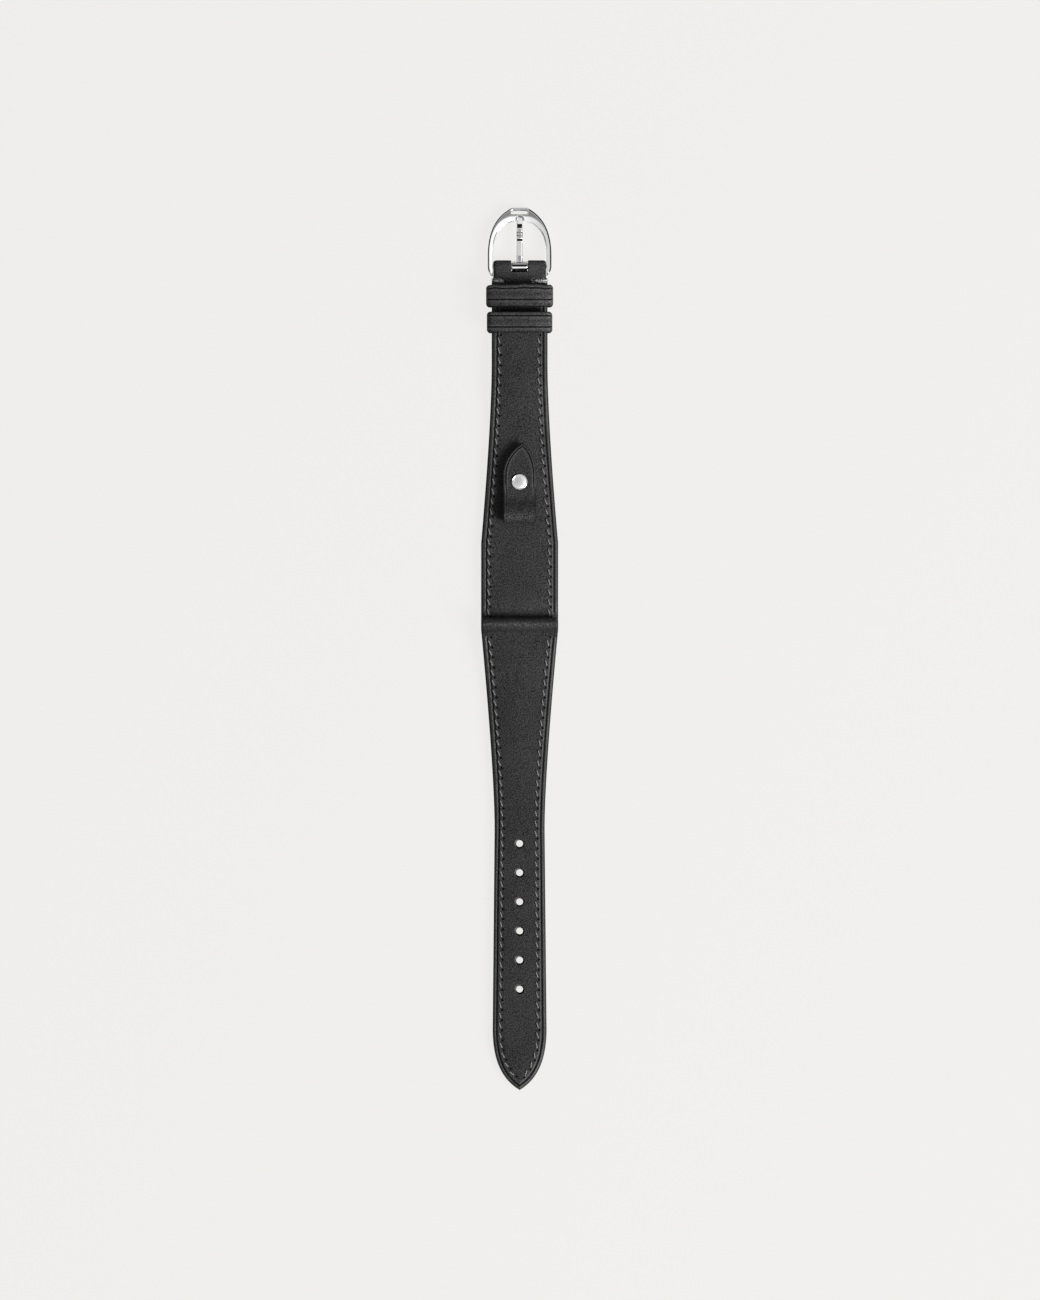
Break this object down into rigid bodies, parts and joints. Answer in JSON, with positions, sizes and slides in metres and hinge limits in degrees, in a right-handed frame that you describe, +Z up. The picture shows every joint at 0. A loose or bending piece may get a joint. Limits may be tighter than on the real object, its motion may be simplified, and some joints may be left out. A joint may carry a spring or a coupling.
{
  "type": "leather watch strap",
  "caption": "One-piece leather watch strap with a stirrup pin buckle, two keepers, a full-width bar fold and a snap tab for the watch's other bar.",
  "frame": {"origin": "on the table, under the middle of the whole strap", "axes": "+X across the strap, +Y along it towards the buckle, +Z up through the face leather"},
  "size_m": [0.02, 0.2292, 0.0074],
  "materials": {
    "face_leather": "smooth black calf with a soft sheen, creased edges",
    "lining_leather": "matt black lining calf",
    "raw_leather": "rough dark grey split",
    "thread": "waxed charcoal linen thread",
    "polished_steel": "mirror polished",
    "spring_bar_steel": "turned",
    "snap_cap_steel": "fine brushed face, polished rim",
    "snap_steel": "plain pressed"
  },
  "bodies": {
    "strap": {"lining": "lining_leather", "base_core": "raw_leather", "base_top_leather": "face_leather", "tail_core": "raw_leather", "tail_top_leather": "face_leather", "fixed_keeper": "face_leather", "base_stitching_left": "thread", "base_stitching_right": "thread", "tail_stitching": "thread", "tab_root": "face_leather", "snap_stud": "snap_steel", "snap_post": "snap_steel"},
    "free_keeper": {"free_keeper": "face_leather"},
    "frame": {"buckle_frame": "polished_steel", "spring_bar_tube": "spring_bar_steel", "spring_bar_spring": "spring_bar_steel"},
    "tongue": {"buckle_tongue": "polished_steel"},
    "bar_tip_left": {"spring_bar_tip_left": "spring_bar_steel"},
    "bar_tip_right": {"spring_bar_tip_right": "spring_bar_steel"},
    "tab": {"tab_flap": "face_leather", "snap_cap": "snap_cap_steel", "snap_socket": "snap_steel", "snap_ring_spring": "snap_steel"}
  },
  "joints": [
    {"name": "frame_tilt", "type": "hinge", "parent": "strap", "child": "frame", "pos_m": [0, 0.09941, 0.00263], "axis": [1, 0, 0], "range_deg": [-30, 19]},
    {"name": "tongue_lift", "type": "hinge", "parent": "frame", "child": "tongue", "pos_m": [0, 0.09941, 0.00263], "axis": [1, 0, 0], "range_deg": [0, 90]},
    {"name": "spring_bar_left", "type": "slide", "parent": "frame", "child": "bar_tip_left", "axis": [1, 0, 0], "range_m": [0, 0.00085], "stiffness_N_per_m": 1500, "springref_m": -0.001, "deforming": ["spring_bar_spring"]},
    {"name": "spring_bar_right", "type": "slide", "parent": "frame", "child": "bar_tip_right", "axis": [-1, 0, 0], "range_m": [0, 0.00085], "stiffness_N_per_m": 1500, "springref_m": -0.001},
    {"name": "free_keeper_slide", "type": "slide", "parent": "strap", "child": "free_keeper", "axis": [0, 1, 0], "range_m": [-0.011, 0.001]},
    {"name": "tab_open", "type": "hinge", "parent": "strap", "child": "tab", "pos_m": [0, 0.03441, 0.00455], "axis": [1, 0, 0], "range_deg": [0, 160]}
  ]
}
